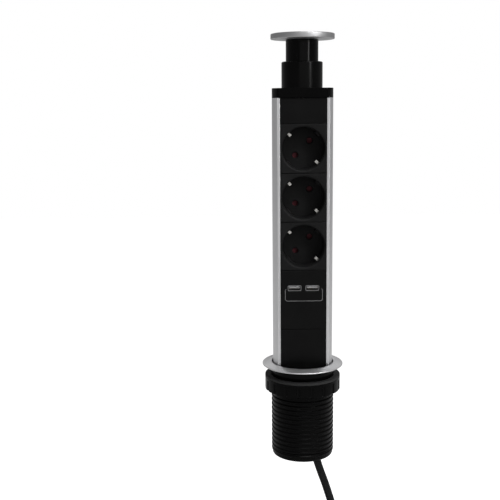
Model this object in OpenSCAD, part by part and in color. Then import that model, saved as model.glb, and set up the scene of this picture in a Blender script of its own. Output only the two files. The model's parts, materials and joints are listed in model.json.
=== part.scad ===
// Pop-up desk socket: a tower with sockets and charging ports that slides up out of a desk.
// Origin on the tower's axis at the desk surface, +Z up, the flat front faces -Y. Millimetres.

/* [Tower] */
// Diameter of the tower's round back
tower_d = 56.6; // [56:0.2:58]
// Distance from the tower's axis to its flat front
face_y = 14.8; // [14.6:0.1:15.2]
// Wall of the aluminium profile
profile_wall = 1.6; // [1.4:0.1:1.8]
// Width of the opening in the profile's front
face_w = 43; // [42.4:0.2:43.4]
// Depth of the face plates behind the profile's front
face_recess = 0.5; // [0.3:0.1:0.7]
// Thickness of the face plates
plate_t = 1.8; // [1.6:0.1:2]
// Height of the collar's underside above the desk
tower_rise = 252.4; // [240:0.2:280]
// Gap at the seams between face plates
seam_gap = 0.2; // [0.1:0.05:0.3]
// Height of the top blank plate
top_blank_h = 23.4; // [22:0.1:24]
// Height of the plate with the charging ports
usb_h = 56.6; // [50:0.2:60]

/* [Collar, necks and lid] */
// Height of the collar
collar_h = 8.8; // [8:0.1:10]
// Reach of the collar past the profile's flat front
collar_over = 0.8; // [0:0.1:1]
// Rounding of the collar's front corners
collar_corner_r = 3; // [1:0.5:4]
// Thickness of the collar's top over the neck's ears
collar_lip = 2; // [1.6:0.1:2.4]
// Diameter of the outer neck
outer_neck_d = 38.1; // [37:0.1:38.3]
// Height of the outer neck that shows above the collar
outer_neck_shown = 24.1; // [22:0.1:25]
// Diameter of the inner neck
inner_neck_d = 30; // [29.4:0.1:30.4]
// Height of the inner neck that shows above the outer neck
inner_neck_shown = 19.7; // [18:0.1:22]
// Wall of both necks
neck_wall = 2.1; // [1.8:0.1:2.2]
// Thickness of the lid
lid_t = 4.9; // [4:0.1:6]
// Reach of the lid past the sleeve's bore on each side
lid_overlap = 0.65; // [0.5:0.05:1]

/* [Sockets] */
// Height of one socket plate
module_h = 45; // [45:0.1:46]
// Diameter of the socket cup
cup_d = 39.2; // [38.8:0.1:39.4]
// Depth of the socket cup
cup_depth = 17.5; // [17:0.1:18]
// Wall of the socket cup
cup_wall = 1.6; // [1.4:0.1:1.7]
// Floor of the socket cup
cup_floor_t = 2; // [1.6:0.1:2.2]
// Width of the bevel at the cup's mouth
cup_flare = 0.8; // [0.4:0.1:1]
// Distance between the two pin holes
pin_pitch = 19; // [18.5:0.1:19.5]
// Diameter of a pin hole
pin_hole_d = 5.2; // [5:0.1:5.4]
// Turn of the pin line from level
socket_turn = 45; // [40:1:50]
// Depth of the socket base behind the cup
base_depth = 10.6; // [10.4:0.1:11]
// Width of the socket base
base_w = 37.4; // [37:0.1:37.8]

/* [Charging ports] */
// Width of a port's metal shell
port_w = 12.6; // [12.2:0.1:13.4]
// Height of a port's metal shell
port_h = 5.2; // [5:0.1:5.8]
// Distance between the two ports
port_pitch = 16.6; // [15:0.1:18]
// Distance of the ports below the plate's upper edge
port_drop = 17; // [14:0.1:20]
// Depth of a port's shell
port_depth = 13.6; // [12:0.1:14]

/* [Sleeve, flange and clamp] */
// Outer diameter of the flange ring
flange_d = 77; // [72:0.5:90]
// Height of the flange ring at its hole
flange_h = 2.7; // [2.2:0.1:3.5]
// Height of the flange ring at its outer edge
flange_edge_h = 0.9; // [0.6:0.1:1.5]
// Thickness of the sleeve's rim under the flange ring
rim_t = 1; // [0.8:0.1:1.2]
// Reach of the sleeve's rim past its outside
rim_w = 2.2; // [1.5:0.1:3]
// Wall of the sleeve between the ribs
sleeve_wall = 0.75; // [0.7:0.05:1.2]
// Length of the sleeve below the desk surface
sleeve_len = 82; // [70:1:100]
// Distance between ribs
rib_pitch = 4.3; // [3.5:0.1:5]
// Depth of a rib
rib_depth = 0.55; // [0.5:0.05:1]
// Length of the plain part of the sleeve in the desk's hole
pilot_len = 9.5; // [6:0.5:10]
// Thickness of the board that the clamp is drawn on
board_t = 10; // [10:1:30]
// Outer diameter of the clamp ring
clamp_d = 72; // [68:1:90]
// Height of the clamp ring
clamp_h = 12; // [8:0.5:16]
// Thickness of the clamp's rubber pad
clamp_pad_t = 2; // [1.5:0.1:3]

/* [Bottom cap and cord] */
// Height of the bottom cap below the sleeve
cap_h = 7.4; // [5.6:0.1:8]
// Rounding of the cap's lower edge
cap_round = 2; // [1:0.5:3.5]
// Diameter of the mains cord
cord_d = 7.6; // [7:0.1:8]
// Distance of the cord's exit from the tower's axis
cord_x = 13.5; // [12:0.1:14]
// Diameter of the plug's grip
plug_d = 39; // [36:0.5:42]
// Length of the plug's grip
plug_grip_len = 20; // [15:0.5:30]
// Length of the plug's nose
plug_nose_len = 17; // [15:0.5:18]
// Diameter of a plug pin
plug_pin_d = 4.8; // [4.7:0.1:4.9]
// Length of a plug pin
plug_pin_len = 19; // [18:0.5:20]

/* [Hidden] */
$fn = 64;
eps = 0.5;

// Clearances
slide_gap = 0.3;
neck_gap = 0.25;
fit_gap = 0.1;
glue_gap = 0.05;
stop_gap = 0.3;
park_gap = 0.2;
seat_gap = 0.05;

// Tower section
tower_r = tower_d / 2;
profile_in_r = tower_r - profile_wall;
plate_y = -(face_y - face_recess);
plate_back_y = plate_y + plate_t;
lip_back_y = -(face_y - profile_wall);
flange_y = lip_back_y + fit_gap;
plate_flange_t = 1.5;
flange_back_y = flange_y + plate_flange_t;
plate_half_w = face_w / 2 - fit_gap;
plate_flange_half_w = sqrt(pow(profile_in_r, 2) - pow(flange_y, 2)) - 2 * fit_gap;
boss_r = 2.1;
screw_hole_r = 1.5;
screw_r = 1.4;
screw_head_r = 2.6;
screw_head_t = 1.8;
screw_bite = 8;
boss_sink = 0.3;
boss_x = profile_in_r - boss_r + boss_sink;
boss_back_y = 0.8;
boss_front_y = -7.5;
boss_front_x = sqrt(pow(boss_x, 2) - pow(boss_front_y, 2));
screw_places = [[boss_x, boss_back_y], [-boss_x, boss_back_y], [boss_front_x, boss_front_y],
    [-boss_front_x, boss_front_y]];

// Heights of the seams between face plates, from the collar down
module_pitch = module_h + seam_gap;
seam_top = tower_rise;
seam_sockets = seam_top - top_blank_h;
seam_usb = seam_sockets - 3 * module_pitch;
seam_bottom = seam_usb - usb_h;
profile_bottom = -sleeve_len - stop_gap;
function socket_z(i) = seam_sockets - (i - 0.5) * module_pitch;

// Sleeve and flange
bore_r = tower_r + slide_gap;
root_r = bore_r + sleeve_wall;
crest_r = root_r + rib_depth;
rim_r = crest_r + rim_w;
lid_r = bore_r + lid_overlap;
flange_hole_r = lid_r + neck_gap;
flange_r = flange_d / 2;
flange_lip_w = 2;
flange_lip_round = 0.4;
rib_end_plain = 2;
rib_count = floor((sleeve_len - pilot_len - rib_end_plain) / rib_pitch);
rib_land = 0.36 * rib_pitch;
rib_flank = 0.14 * rib_pitch;
key_h = 24;
key_y = -(face_y + slide_gap);
pad_w = 16;
pad_h = 16;
pad_z = -sleeve_len + key_h / 2;
pad_y = plate_y - slide_gap;
pad_depth = 2;
clamp_bore_r = crest_r + slide_gap;
clamp_top = -board_t - clamp_pad_t;
clamp_grip_count = 18;
clamp_grip_r = 2;
clamp_band_h = 2;

// Necks, lid and latch
neck_y = (profile_in_r + plate_back_y) / 2;
collar_top = tower_rise + collar_h;
outer_neck_r = outer_neck_d / 2;
inner_neck_r = inner_neck_d / 2;
outer_neck_bore_r = outer_neck_r - neck_wall;
inner_neck_bore_r = inner_neck_r - neck_wall;
collar_hole_r = outer_neck_r + neck_gap;
outer_neck_top = collar_top + outer_neck_shown;
lid_z = outer_neck_top + inner_neck_shown;
neck_travel = outer_neck_shown - park_gap;
head_travel = inner_neck_shown - park_gap;
ear_t = 1.6;
ear_reach = 1.4;
ear_half_w = 8;
outer_neck_bottom = collar_top - collar_lip - park_gap - ear_t;
neck_lip_t = 1.6;
inner_flange_t = 1.5;
inner_neck_bottom = outer_neck_top - neck_lip_t - stop_gap - inner_flange_t;
inner_neck_roof_t = 2;
neck_edge = 0.8;
bulkhead_t = 1.9;
bulkhead_top = seam_sockets + bulkhead_t;
pin_r = 2;
pin_collar_r = 4;
pin_collar_t = 2;
pin_bite = 3.4;
hat_t = 1.1;
hat_in_r = 8.2;
hat_clear = 2.4;
hat_top = lid_z - inner_neck_roof_t - head_travel - pin_collar_t - hat_clear;
hat_hole_gap = 1.2;
hat_hole_r = pin_r + hat_hole_gap;
brim_t = 1.2;
latch_r = 5.4;
latch_h = 13;
latch_play = 0.6;
latch_bore_r = pin_r + latch_play;
latch_floor_t = 1;
latch_engage = 6.6;
pin_tip = bulkhead_top + latch_h - latch_engage + neck_travel + head_travel;
spring_wire = 1.4;
spring_turns = 9;
lower_spring_r = hat_in_r - slide_gap - spring_wire / 2;
upper_spring_gap = 0.8;
upper_spring_r = hat_in_r + hat_t + upper_spring_gap + spring_wire / 2;
lid_round = 0.7;

// Sockets
cup_r = cup_d / 2;
cup_floor_y = plate_y + cup_depth;
cup_back_y = cup_floor_y + cup_floor_t;
cup_out_r = cup_r + cup_wall;
guide_w = 4.4;
guide_reach = 1.7;
guide_start = 2.5;
base_y = cup_back_y + fit_gap;
base_wall = 1.3;
base_half_h = module_h / 2 - fit_gap;
base_back_y = base_y + base_depth;
base_back_t = 1.4;
base_in_y = base_back_y - base_back_t;
clip_w = 4.4;
clip_t = 0.7;
clip_gap = 0.15;
clip_reach = 2.4;
clip_in_r = cup_out_r + clip_gap;
clip_out_r = clip_in_r + clip_t;
clip_tip_rise = 7.7;
clip_bend = 3;
clip_slot_room = 0.6;
clip_tip_y = cup_floor_y - clip_tip_rise;
clip_end_y = clip_tip_y - clip_bend;
clip_root_y = clip_tip_y + clip_bend;
strap_y = base_in_y - park_gap - clip_t;
shutter_y = cup_back_y + park_gap;
shutter_t = 1.5;
shutter_cover = 0.6;
shutter_half_w = pin_hole_d / 2 + shutter_cover;
shutter_wire = 0.5;
shutter_spring_r = 1.6;
shutter_spring_turns = 5;
shutter_spring_y = shutter_y + shutter_spring_r + shutter_wire / 2;
shutter_tab_w = 4.4;
shutter_tab_t = 1.2;
shutter_tab_y = shutter_y + 2 * shutter_spring_r + shutter_wire;
spring_seat_at = 16;
spring_seat_t = 1.5;
spring_seat_y = shutter_tab_y + fit_gap;
contact_r = 3.2;
contact_bore_r = 2.5;
contact_floor_t = 1;
contact_y = shutter_y + shutter_t + slide_gap;
contact_end_y = strap_y - slide_gap;
stem_w = 2;
bar_w = 4.6;
bar_t = 0.8;
bar_y = base_back_y + park_gap;
bar_inset = 2.5;
bar_top = socket_z(1) + module_h / 2 - bar_inset;
bar_tail = 1.6;
bar_foot = socket_z(3) - base_half_h - bar_tail;
pin_off = pin_pitch / 2 * cos(socket_turn);
pin_rise = pin_pitch / 2 * sin(socket_turn);

// Charging ports
port_z = seam_usb - port_drop;
port_wall = 0.4;
port_sink = 0.3;
port_front_y = plate_y + port_sink;
port_back_y = port_front_y + port_depth;
tongue_t = 2;
tongue_sink = 1.2;
usb_board_t = 1.6;
board_back_y = port_back_y + usb_board_t;
board_half_w = 19;
board_margin = 4;
post_r = 1.8;
post_x = 16.5;
transformer = [16, 12, 14];
transformer_at = [-6, -8];
capacitor_r = 4;
capacitor_h = 10;
capacitor_x = 10;
capacitor_gap = 1.5;
chip = [6, 1.6, 5];
chip_at = [8, 13];

// Bottom cap and cord
cap_top = profile_bottom;
cap_bottom = cap_top - cap_h;
cap_floor_t = 4;
cap_floor_top = cap_bottom + cap_floor_t;
cap_inset = 0.15;
cap_r = root_r - cap_inset;
spigot_h = 4.8;
spigot_wall = 1.6;
spigot_front_y = flange_back_y + fit_gap;
cord_r = cord_d / 2;
cord_hole_r = cord_r + glue_gap;
gland_wall = 2;
gland_r = cord_r + gland_wall;
gland_lip_w = 1.4;
gland_lip_r = gland_r + gland_lip_w;
gland_lip_t = 1.5;
gland_bottom = cap_bottom - gland_lip_t;
saddle_h = 9;
saddle_x = 5.4;
saddle_y = 9.6;
saddle_screw_y = gland_r + screw_hole_r + park_gap;
cap_pocket_r = profile_in_r - 3.9;
cord_end_spare = 8;
cord_end_top = cap_floor_top + saddle_h + cord_end_spare;
wire_r = 1.25;
wire_spread = 2.1;
wire_y = bar_y + bar_t / 2;
wire_rise = 12;
wire_sweep = 14;

// The cord hangs from the gland, and its unseen length is a tied coil with the plug below it
// Path of the hanging cord: distance sideways and distance down from the gland
cord_sway = [[0, 0], [0.1, 4], [0.8, 8], [2, 12], [4.6, 20], [8.2, 30], [11.4, 40], [14.5, 50], [17.6, 60],
    [20.3, 70], [22.7, 80], [24.4, 90], [25.3, 99], [25.5, 106]];
cord_path = [for (p = cord_sway) [cord_x + p[0], 0, gland_bottom - p[1]]];
cord_sides = 10;
coil_lead = 8;
coil_entry = cord_path[len(cord_path) - 1] - [0, 0, coil_lead];
coil_inner_r = 32;
coil_gap = 0.6;
coil_step = cord_d + coil_gap;
coil_turns_in = 2.5;
coil_outer_r = coil_inner_r + coil_step * coil_turns_in;
coil_centre = [coil_entry[0] - coil_outer_r, 0, coil_entry[2]];
rings_per_loop = 24;
drop_len = 50;
drop_end_z = coil_entry[2] - coil_lead - drop_len;
tie_w = 8;
tie_t = 1.2;
tie_gap = 0.4;
relief_len = 26;
plug_top = drop_end_z - relief_len;
relief_root_w = 3;
relief_tip_w = 0.6;
plug_nose_inset = 1.3;
plug_nose_r = plug_d / 2 - plug_nose_inset;
plug_shoulder = 5;
plug_groove_w = 5;
plug_groove_depth = 2;
plug_strip_w = 6;
plug_strip_t = 0.8;
plug_strip_sink = 1;
plug_strip_end = 3;

// Swept tubes: the path's points, a side direction that is never along the path, a radius and a side count
function unit(v) = v / norm(v);
function tangent(path, i) = unit(path[min(i + 1, len(path) - 1)] - path[max(i - 1, 0)]);
function across(t, side) = unit(side - t * (side * t));
function ring_points(path, i, side, r, sides) =
    let (t = tangent(path, i), u = across(t, side), v = cross(t, u))
    [for (k = [0 : sides - 1]) path[i] + r * (cos(360 * k / sides) * u + sin(360 * k / sides) * v)];
module tube(path, side, r, sides) {
    rings = len(path);
    points = [for (i = [0 : rings - 1]) each ring_points(path, i, side, r, sides)];
    last = (rings - 1) * sides;
    walls = [for (i = [0 : rings - 2], k = [0 : sides - 1])
        let (a = i * sides + k, b = i * sides + (k + 1) % sides)
        each [[a, a + sides, b + sides], [a, b + sides, b]]];
    first_cap = [for (k = [1 : sides - 2]) [0, k, k + 1]];
    last_cap = [for (k = [1 : sides - 2]) [last, last + k + 1, last + k]];
    polyhedron(points, concat(first_cap, walls, last_cap), convexity = 10);
}

// Least gap of a wound tube to itself, on points at least half a loop apart
function least_gap(path, skip, d) =
    min([for (i = [0 : len(path) - 1], j = [i + skip : 1 : len(path) - 1]) norm(path[i] - path[j])]) - d;

// Springs: eight rings a curl, along +Z
spring_rings = 8;
function spring_path(r, h, turns) = [for (i = [0 : turns * spring_rings])
    let (a = 360 * i / spring_rings) [r * cos(a), r * sin(a), h * i / (turns * spring_rings)]];
module spring(r, h, turns, wire) {
    path = spring_path(r, h - wire, turns);
    translate([0, 0, wire / 2]) tube(path, [0, 0, 1], wire / 2, 6);
    echo(spring_least_gap = least_gap(path, spring_rings / 2, wire));
}

// Coil: spirals in and out again, and changes layer in the half turn where it reverses
function ease(s) = let (c = min(max(s, 0), 1)) c * c * (3 - 2 * c);
function coil_point(t) =
    let (r = coil_inner_r + coil_step * abs(coil_turns_in - t))
    coil_centre + [r * cos(360 * t), -coil_step * ease(2 * (t - coil_turns_in) + 0.5), -r * sin(360 * t)];
coil_exit = coil_point(2 * coil_turns_in);
coil_path = concat([coil_entry + [0, 0, coil_lead]],
    [for (i = [0 : 2 * coil_turns_in * rings_per_loop]) coil_point(i / rings_per_loop)],
    [coil_exit - [0, 0, coil_lead]]);

// Flat outlines
module d_outline(r, flat) {
    intersection() {
        circle(r);
        translate([-2 * r, -flat]) square([4 * r, 4 * r]);
    }
}
module rounded_d_outline(r, flat, corner) {
    corner_y = corner - flat;
    corner_x = sqrt(pow(r - corner, 2) - pow(corner_y, 2));
    steps = 6;
    overshoot = 1.002;
    sweep = 90 - atan2(-corner_y, corner_x);
    right = [for (i = [0 : steps]) let (a = sweep * i / steps - 90)
        [corner_x + corner * cos(a), corner_y + corner * sin(a)] * (i == steps ? overshoot : 1)];
    left = [for (i = [steps : -1 : 0]) [-right[i][0], right[i][1]]];
    intersection() {
        circle(r);
        polygon(concat(right, [[2 * r, 0], [2 * r, 2 * r], [-2 * r, 2 * r], [-2 * r, 0]], left));
    }
}
// Cylinder along +Y from one depth to another
module bar_y_axis(r, y0, y1) { translate([0, y0, 0]) rotate([-90, 0, 0]) cylinder(r = r, h = y1 - y0); }
// Block centred on X, between two depths and two heights
module slab(half_w, y0, y1, z0, z1) { translate([-half_w, y0, z0]) cube([2 * half_w, y1 - y0, z1 - z0]); }
// Face plate with the side flanges that run behind the profile's lips
module face_plate(z0, z1) {
    slab(plate_half_w, plate_y, flange_y + glue_gap, z0 + seam_gap / 2, z1 - seam_gap / 2);
    slab(plate_flange_half_w, flange_y, flange_back_y, z0 + seam_gap / 2, z1 - seam_gap / 2);
}
// Pan head screw that points down, with its seat at z = 0
module screw(bite) {
    translate([0, 0, -bite]) cylinder(r = screw_r, h = bite + eps);
    cylinder(r = screw_head_r, h = screw_head_t);
}
module at_neck() { translate([0, neck_y, 0]) children(); }
module at_socket(i) { translate([0, 0, socket_z(i)]) children(); }
// Turns the pin line, drawn level along X, to its slant
module slant() { rotate([0, -socket_turn, 0]) children(); }

// Fixed to the desk
module flange_ring() {
    color("silver") rotate_extrude() polygon([[flange_hole_r, rim_t], [rim_r + fit_gap, rim_t],
        [rim_r + fit_gap, 0], [flange_r, 0], [flange_r, flange_edge_h],
        [flange_hole_r + flange_lip_w, flange_h], [flange_hole_r + flange_lip_round, flange_h],
        [flange_hole_r, flange_h - flange_lip_round]]);
}
module ribbed_sleeve() {
    ribs = [for (i = [1 : rib_count])
        let (z = -pilot_len - i * rib_pitch)
        each [[root_r, z + 2 * rib_flank + rib_land], [crest_r, z + rib_flank + rib_land],
            [crest_r, z + rib_flank], [root_r, z]]];
    color("black") rotate_extrude() polygon(concat([[bore_r, -sleeve_len], [bore_r, rim_t], [rim_r, rim_t],
        [rim_r, 0], [crest_r, 0], [crest_r, -pilot_len], [root_r, -pilot_len - rib_flank]], ribs,
        [[root_r, -sleeve_len]]));
}
module guide_key() {
    color("black") difference() {
        translate([0, 0, -sleeve_len]) linear_extrude(key_h) intersection() {
            circle(bore_r - glue_gap);
            translate([-bore_r, -2 * bore_r]) square([2 * bore_r, 2 * bore_r + key_y]);
        }
        slab(pad_w / 2 + fit_gap, key_y - pad_depth, key_y + eps, pad_z - pad_h / 2 - fit_gap,
            pad_z + pad_h / 2 + fit_gap);
    }
}
module brake_pad() {
    color("dimgray") slab(pad_w / 2, key_y - pad_depth, pad_y, pad_z - pad_h / 2, pad_z + pad_h / 2);
}

// Slides on the sleeve up to the board
module clamp_ring() {
    color("black") translate([0, 0, clamp_top - clamp_h]) difference() {
        cylinder(d = clamp_d, h = clamp_h);
        translate([0, 0, -eps]) cylinder(r = clamp_bore_r, h = clamp_h + 2 * eps);
        for (i = [0 : clamp_grip_count - 1]) rotate(360 * i / clamp_grip_count)
            translate([clamp_d / 2 + clamp_grip_r / 2, 0, -eps])
                cylinder(r = clamp_grip_r, h = clamp_h - clamp_band_h + eps);
    }
}
module clamp_pad() {
    color("dimgray") translate([0, 0, clamp_top]) difference() {
        cylinder(d = clamp_d, h = clamp_pad_t);
        translate([0, 0, -eps]) cylinder(r = clamp_bore_r, h = clamp_pad_t + 2 * eps);
    }
}

// Tower
module tower_profile() {
    color("silver") translate([0, 0, profile_bottom]) linear_extrude(tower_rise - profile_bottom) {
        difference() {
            d_outline(tower_r, face_y);
            d_outline(profile_in_r, -lip_back_y);
            translate([-face_w / 2, -face_y - eps]) square([face_w, profile_wall + 2 * eps]);
        }
        difference() {
            for (p = screw_places) translate(p) circle(boss_r);
            for (p = screw_places) translate(p) circle(screw_hole_r);
            difference() {
                circle(2 * tower_r);
                circle(profile_in_r + profile_wall / 2);
            }
        }
    }
}
module top_collar() {
    color("black") difference() {
        translate([0, 0, tower_rise]) linear_extrude(collar_h)
            rounded_d_outline(tower_r, face_y + collar_over, collar_corner_r);
        at_neck() translate([0, 0, tower_rise - eps]) cylinder(r = collar_hole_r, h = collar_h + 2 * eps);
        at_neck() slab(outer_neck_r + ear_reach + neck_gap, -ear_half_w - neck_gap, ear_half_w + neck_gap,
            tower_rise - eps, collar_top - collar_lip);
        for (p = screw_places) translate([p[0], p[1], tower_rise - eps])
            cylinder(r = screw_hole_r, h = collar_h + 2 * eps);
        for (p = screw_places) translate([p[0], p[1], collar_top - screw_head_t - fit_gap])
            cylinder(r = screw_head_r + fit_gap, h = screw_head_t + eps);
    }
}
module body_screws() {
    color("gray") {
        for (p = screw_places) translate([p[0], p[1], collar_top - screw_head_t - fit_gap])
            screw(collar_h - screw_head_t + screw_bite);
        for (p = screw_places) translate([p[0], p[1], cap_bottom + screw_head_t + fit_gap])
            mirror([0, 0, 1]) screw(cap_h - screw_head_t + screw_bite);
        for (side = [-1, 1]) translate([cord_x, side * saddle_screw_y, cap_floor_top + saddle_h])
            screw(saddle_h + cap_floor_t / 2);
    }
}
module bulkhead() {
    color("dimgray") translate([0, 0, seam_sockets]) linear_extrude(bulkhead_t) difference() {
        d_outline(profile_in_r - fit_gap, -flange_back_y - 2 * fit_gap);
        for (p = screw_places) translate(p) circle(boss_r + fit_gap);
    }
}
module latch_body() {
    color("gray") at_neck() translate([0, 0, bulkhead_top]) difference() {
        cylinder(r = latch_r, h = latch_h);
        translate([0, 0, latch_floor_t]) cylinder(r = latch_bore_r, h = latch_h);
    }
}
module top_blank_plate() {
    neck_clear = outer_neck_r + neck_gap;
    color("#1b1b1c") difference() {
        union() {
            face_plate(seam_sockets, seam_top);
            slab(plate_half_w, plate_y, plate_back_y, seam_sockets + seam_gap / 2, seam_top - seam_gap / 2);
        }
        slab(neck_clear, plate_back_y, flange_back_y + eps, seam_sockets, seam_top);
    }
}
module socket_face(i) {
    color("#1b1b1c") at_socket(i) {
        difference() {
            union() {
                face_plate(-module_pitch / 2, module_pitch / 2);
                intersection() {
                    bar_y_axis(cup_out_r, flange_y, cup_back_y);
                    slab(cup_out_r, flange_y, cup_back_y, -module_h / 2, module_h / 2);
                }
            }
            bar_y_axis(cup_r, plate_y - eps, cup_floor_y);
            translate([0, plate_y, 0]) rotate([-90, 0, 0])
                cylinder(r1 = cup_r + cup_flare, r2 = cup_r, h = cup_flare);
            slant() for (side = [-1, 1]) translate([side * pin_pitch / 2, 0, 0])
                bar_y_axis(pin_hole_d / 2, cup_floor_y - eps, cup_back_y + eps);
            slant() for (side = [-1, 1]) clip_slot(side);
        }
        slant() for (side = [-1, 1]) guide_rib(side);
    }
}
module clip_slot(side) {
    half_w = clip_w / 2 + neck_gap;
    inner = cup_r - clip_reach;
    outer = cup_out_r + eps;
    slab(half_w, clip_end_y - clip_slot_room, cup_floor_y, side > 0 ? inner : -outer,
        side > 0 ? outer : -inner);
}
module guide_rib(side) {
    reach = guide_reach + cup_wall / 2;
    translate([side > 0 ? cup_r - guide_reach : -cup_r - cup_wall / 2, plate_y + guide_start, -guide_w / 2])
        cube([reach, cup_floor_y - plate_y - guide_start + cup_floor_t / 2, guide_w]);
}
module socket_base(i) {
    in_half_w = base_w / 2 - base_wall;
    in_half_h = base_half_h - base_wall;
    stem_hole = stem_w / 2 + fit_gap;
    color("#2a2a2b") at_socket(i) difference() {
        slab(base_w / 2, base_y, base_back_y, -base_half_h, base_half_h);
        difference() {
            slab(in_half_w, base_y - eps, base_in_y, -in_half_h, in_half_h);
            slant() slab(base_w, shutter_y, spring_seat_y, spring_seat_at, spring_seat_at + spring_seat_t);
        }
        for (x = [-pin_off, 0, pin_off]) translate([x, 0, x * tan(socket_turn)])
            slab(stem_hole, base_in_y - eps, base_back_y + eps, -stem_hole, stem_hole);
    }
}
// Sprung arm of the earth strip, bent in through the cup's slot
module clip() {
    translate([clip_w / 2, 0, 0]) rotate([0, -90, 0]) linear_extrude(clip_w)
        polygon([[clip_out_r, strap_y + clip_t], [clip_out_r, clip_root_y],
            [cup_r - clip_reach + clip_t, clip_tip_y], [cup_r + clip_t, clip_end_y], [cup_r, clip_end_y],
            [cup_r - clip_reach, clip_tip_y], [clip_in_r, clip_root_y], [clip_in_r, strap_y],
            [clip_in_r - clip_t, strap_y], [clip_in_r - clip_t, strap_y + clip_t]]);
}
// One bent strip: two clips that reach into the cup, joined by a strap across the back
module earth_stirrup(i) {
    color("gainsboro") at_socket(i) {
        slant() {
            clip();
            mirror([0, 0, 1]) clip();
            slab(clip_w / 2, strap_y, strap_y + clip_t, -clip_in_r, clip_in_r);
        }
        slab(stem_w / 2, strap_y, bar_y, -stem_w / 2, stem_w / 2);
    }
}
module shutter(i) {
    color("#7a1010") at_socket(i) slant() {
        slab(pin_pitch / 2, shutter_y, shutter_y + shutter_t, -shutter_half_w, shutter_half_w);
        for (side = [-1, 1]) translate([side * pin_pitch / 2, 0, 0])
            bar_y_axis(shutter_half_w, shutter_y, shutter_y + shutter_t);
        slab(shutter_tab_w / 2, shutter_y, shutter_tab_y, shutter_half_w - shutter_tab_t, shutter_half_w);
    }
}
module shutter_spring(i) {
    color("gainsboro") at_socket(i) slant() translate([0, shutter_spring_y, shutter_half_w + seat_gap])
        spring(shutter_spring_r, spring_seat_at - shutter_half_w - 2 * seat_gap, shutter_spring_turns,
            shutter_wire);
}
module pin_contacts() {
    color("goldenrod") for (i = [1 : 3], side = [-1, 1])
        at_socket(i) translate([side * pin_off, 0, side * pin_rise]) {
            difference() {
                bar_y_axis(contact_r, contact_y, contact_end_y);
                bar_y_axis(contact_bore_r, contact_y - eps, contact_end_y - contact_floor_t);
            }
            slab(stem_w / 2, contact_end_y - eps, bar_y, -stem_w / 2, stem_w / 2);
        }
}
module bus_bar(x) {
    translate([x, 0, 0]) slab(bar_w / 2, bar_y, bar_y + bar_t, bar_foot, bar_top);
}
module line_bar() { color("goldenrod") bus_bar(-pin_off); }
module neutral_bar() { color("goldenrod") bus_bar(pin_off); }
module earth_bar() { color("goldenrod") bus_bar(0); }

// Charging ports
module at_ports() { for (side = [-1, 1]) translate([side * port_pitch / 2, 0, port_z]) children(); }
module usb_plate() {
    color("#1b1b1c") {
        difference() {
            face_plate(seam_bottom, seam_usb);
            at_ports() slab(port_w / 2 + fit_gap, plate_y - eps, flange_back_y + eps, -port_h / 2 - fit_gap,
                port_h / 2 + fit_gap);
        }
        for (x = [-post_x, post_x], z = [seam_bottom + 2 * board_margin, seam_usb - 2 * board_margin])
            translate([x, 0, z]) bar_y_axis(post_r, flange_back_y - glue_gap, port_back_y);
    }
}
module usb_shells() {
    color("silver") at_ports() difference() {
        slab(port_w / 2, port_front_y, port_back_y, -port_h / 2, port_h / 2);
        slab(port_w / 2 - port_wall, port_front_y - eps, port_back_y - port_wall, -port_h / 2 + port_wall,
            port_h / 2 - port_wall);
    }
}
module usb_tongues() {
    tongue_top = port_h / 2 - 2 * port_wall;
    color("black") at_ports() slab(port_w / 2 - 3 * port_wall, port_front_y + tongue_sink,
        port_back_y - port_wall, tongue_top - tongue_t, tongue_top);
}
module usb_board() {
    color("darkgreen")
        slab(board_half_w, port_back_y, board_back_y, seam_bottom + board_margin, seam_usb - board_margin);
}
// Block of the given width, depth and height that stands on the board
module board_block(size) {
    slab(size[0] / 2, board_back_y, board_back_y + size[1], -size[2] / 2, size[2] / 2);
}
module usb_parts() {
    middle = (seam_bottom + seam_usb) / 2;
    color("#303032") {
        translate([transformer_at[0], 0, middle + transformer_at[1]]) board_block(transformer);
        for (side = [-1, 1])
            translate([capacitor_x, 0, middle + transformer_at[1] + side * (capacitor_r + capacitor_gap)])
                bar_y_axis(capacitor_r, board_back_y, board_back_y + capacitor_h);
        for (side = [-1, 1]) translate([side * chip_at[0], 0, middle + chip_at[1]]) board_block(chip);
    }
}

// Foot of the tower
module bottom_blank_plate() { color("#1b1b1c") face_plate(profile_bottom, seam_bottom); }
module bottom_cap() {
    arc_step = 15;
    arc = [for (a = [0 : arc_step : 90])
        [cap_r - cap_round + cap_round * cos(a), cap_bottom + cap_round - cap_round * sin(a)]];
    color("black") difference() {
        union() {
            rotate_extrude() polygon(concat([[0, cap_bottom], [0, cap_top], [cap_r, cap_top]], arc));
            translate([0, 0, cap_top - eps]) linear_extrude(spigot_h + eps) difference() {
                d_outline(profile_in_r - fit_gap, -spigot_front_y);
                d_outline(profile_in_r - spigot_wall, -spigot_front_y - spigot_wall);
                for (p = screw_places) translate(p) circle(boss_r + fit_gap);
            }
        }
        translate([0, 0, cap_floor_top]) linear_extrude(cap_h)
            d_outline(cap_pocket_r, -spigot_front_y - spigot_wall);
        translate([cord_x, 0, cap_bottom - eps]) cylinder(r = gland_r + glue_gap, h = cap_h + 2 * eps);
        for (p = screw_places) translate([p[0], p[1], cap_bottom - eps])
            cylinder(r = screw_hole_r, h = cap_h + 2 * eps);
        for (p = screw_places) translate([p[0], p[1], cap_bottom - eps])
            cylinder(r = screw_head_r + fit_gap, h = screw_head_t + fit_gap + eps);
        for (side = [-1, 1]) translate([cord_x, side * saddle_screw_y, cap_floor_top - cap_floor_t / 2])
            cylinder(r = screw_hole_r, h = cap_floor_t);
    }
}
module cord_gland() {
    color("black") translate([cord_x, 0, gland_bottom]) difference() {
        union() {
            cylinder(r = gland_lip_r, h = gland_lip_t);
            cylinder(r = gland_r, h = cap_floor_top - gland_bottom);
        }
        translate([0, 0, -eps]) cylinder(r = cord_hole_r, h = cap_floor_top - gland_bottom + 2 * eps);
    }
}
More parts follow.
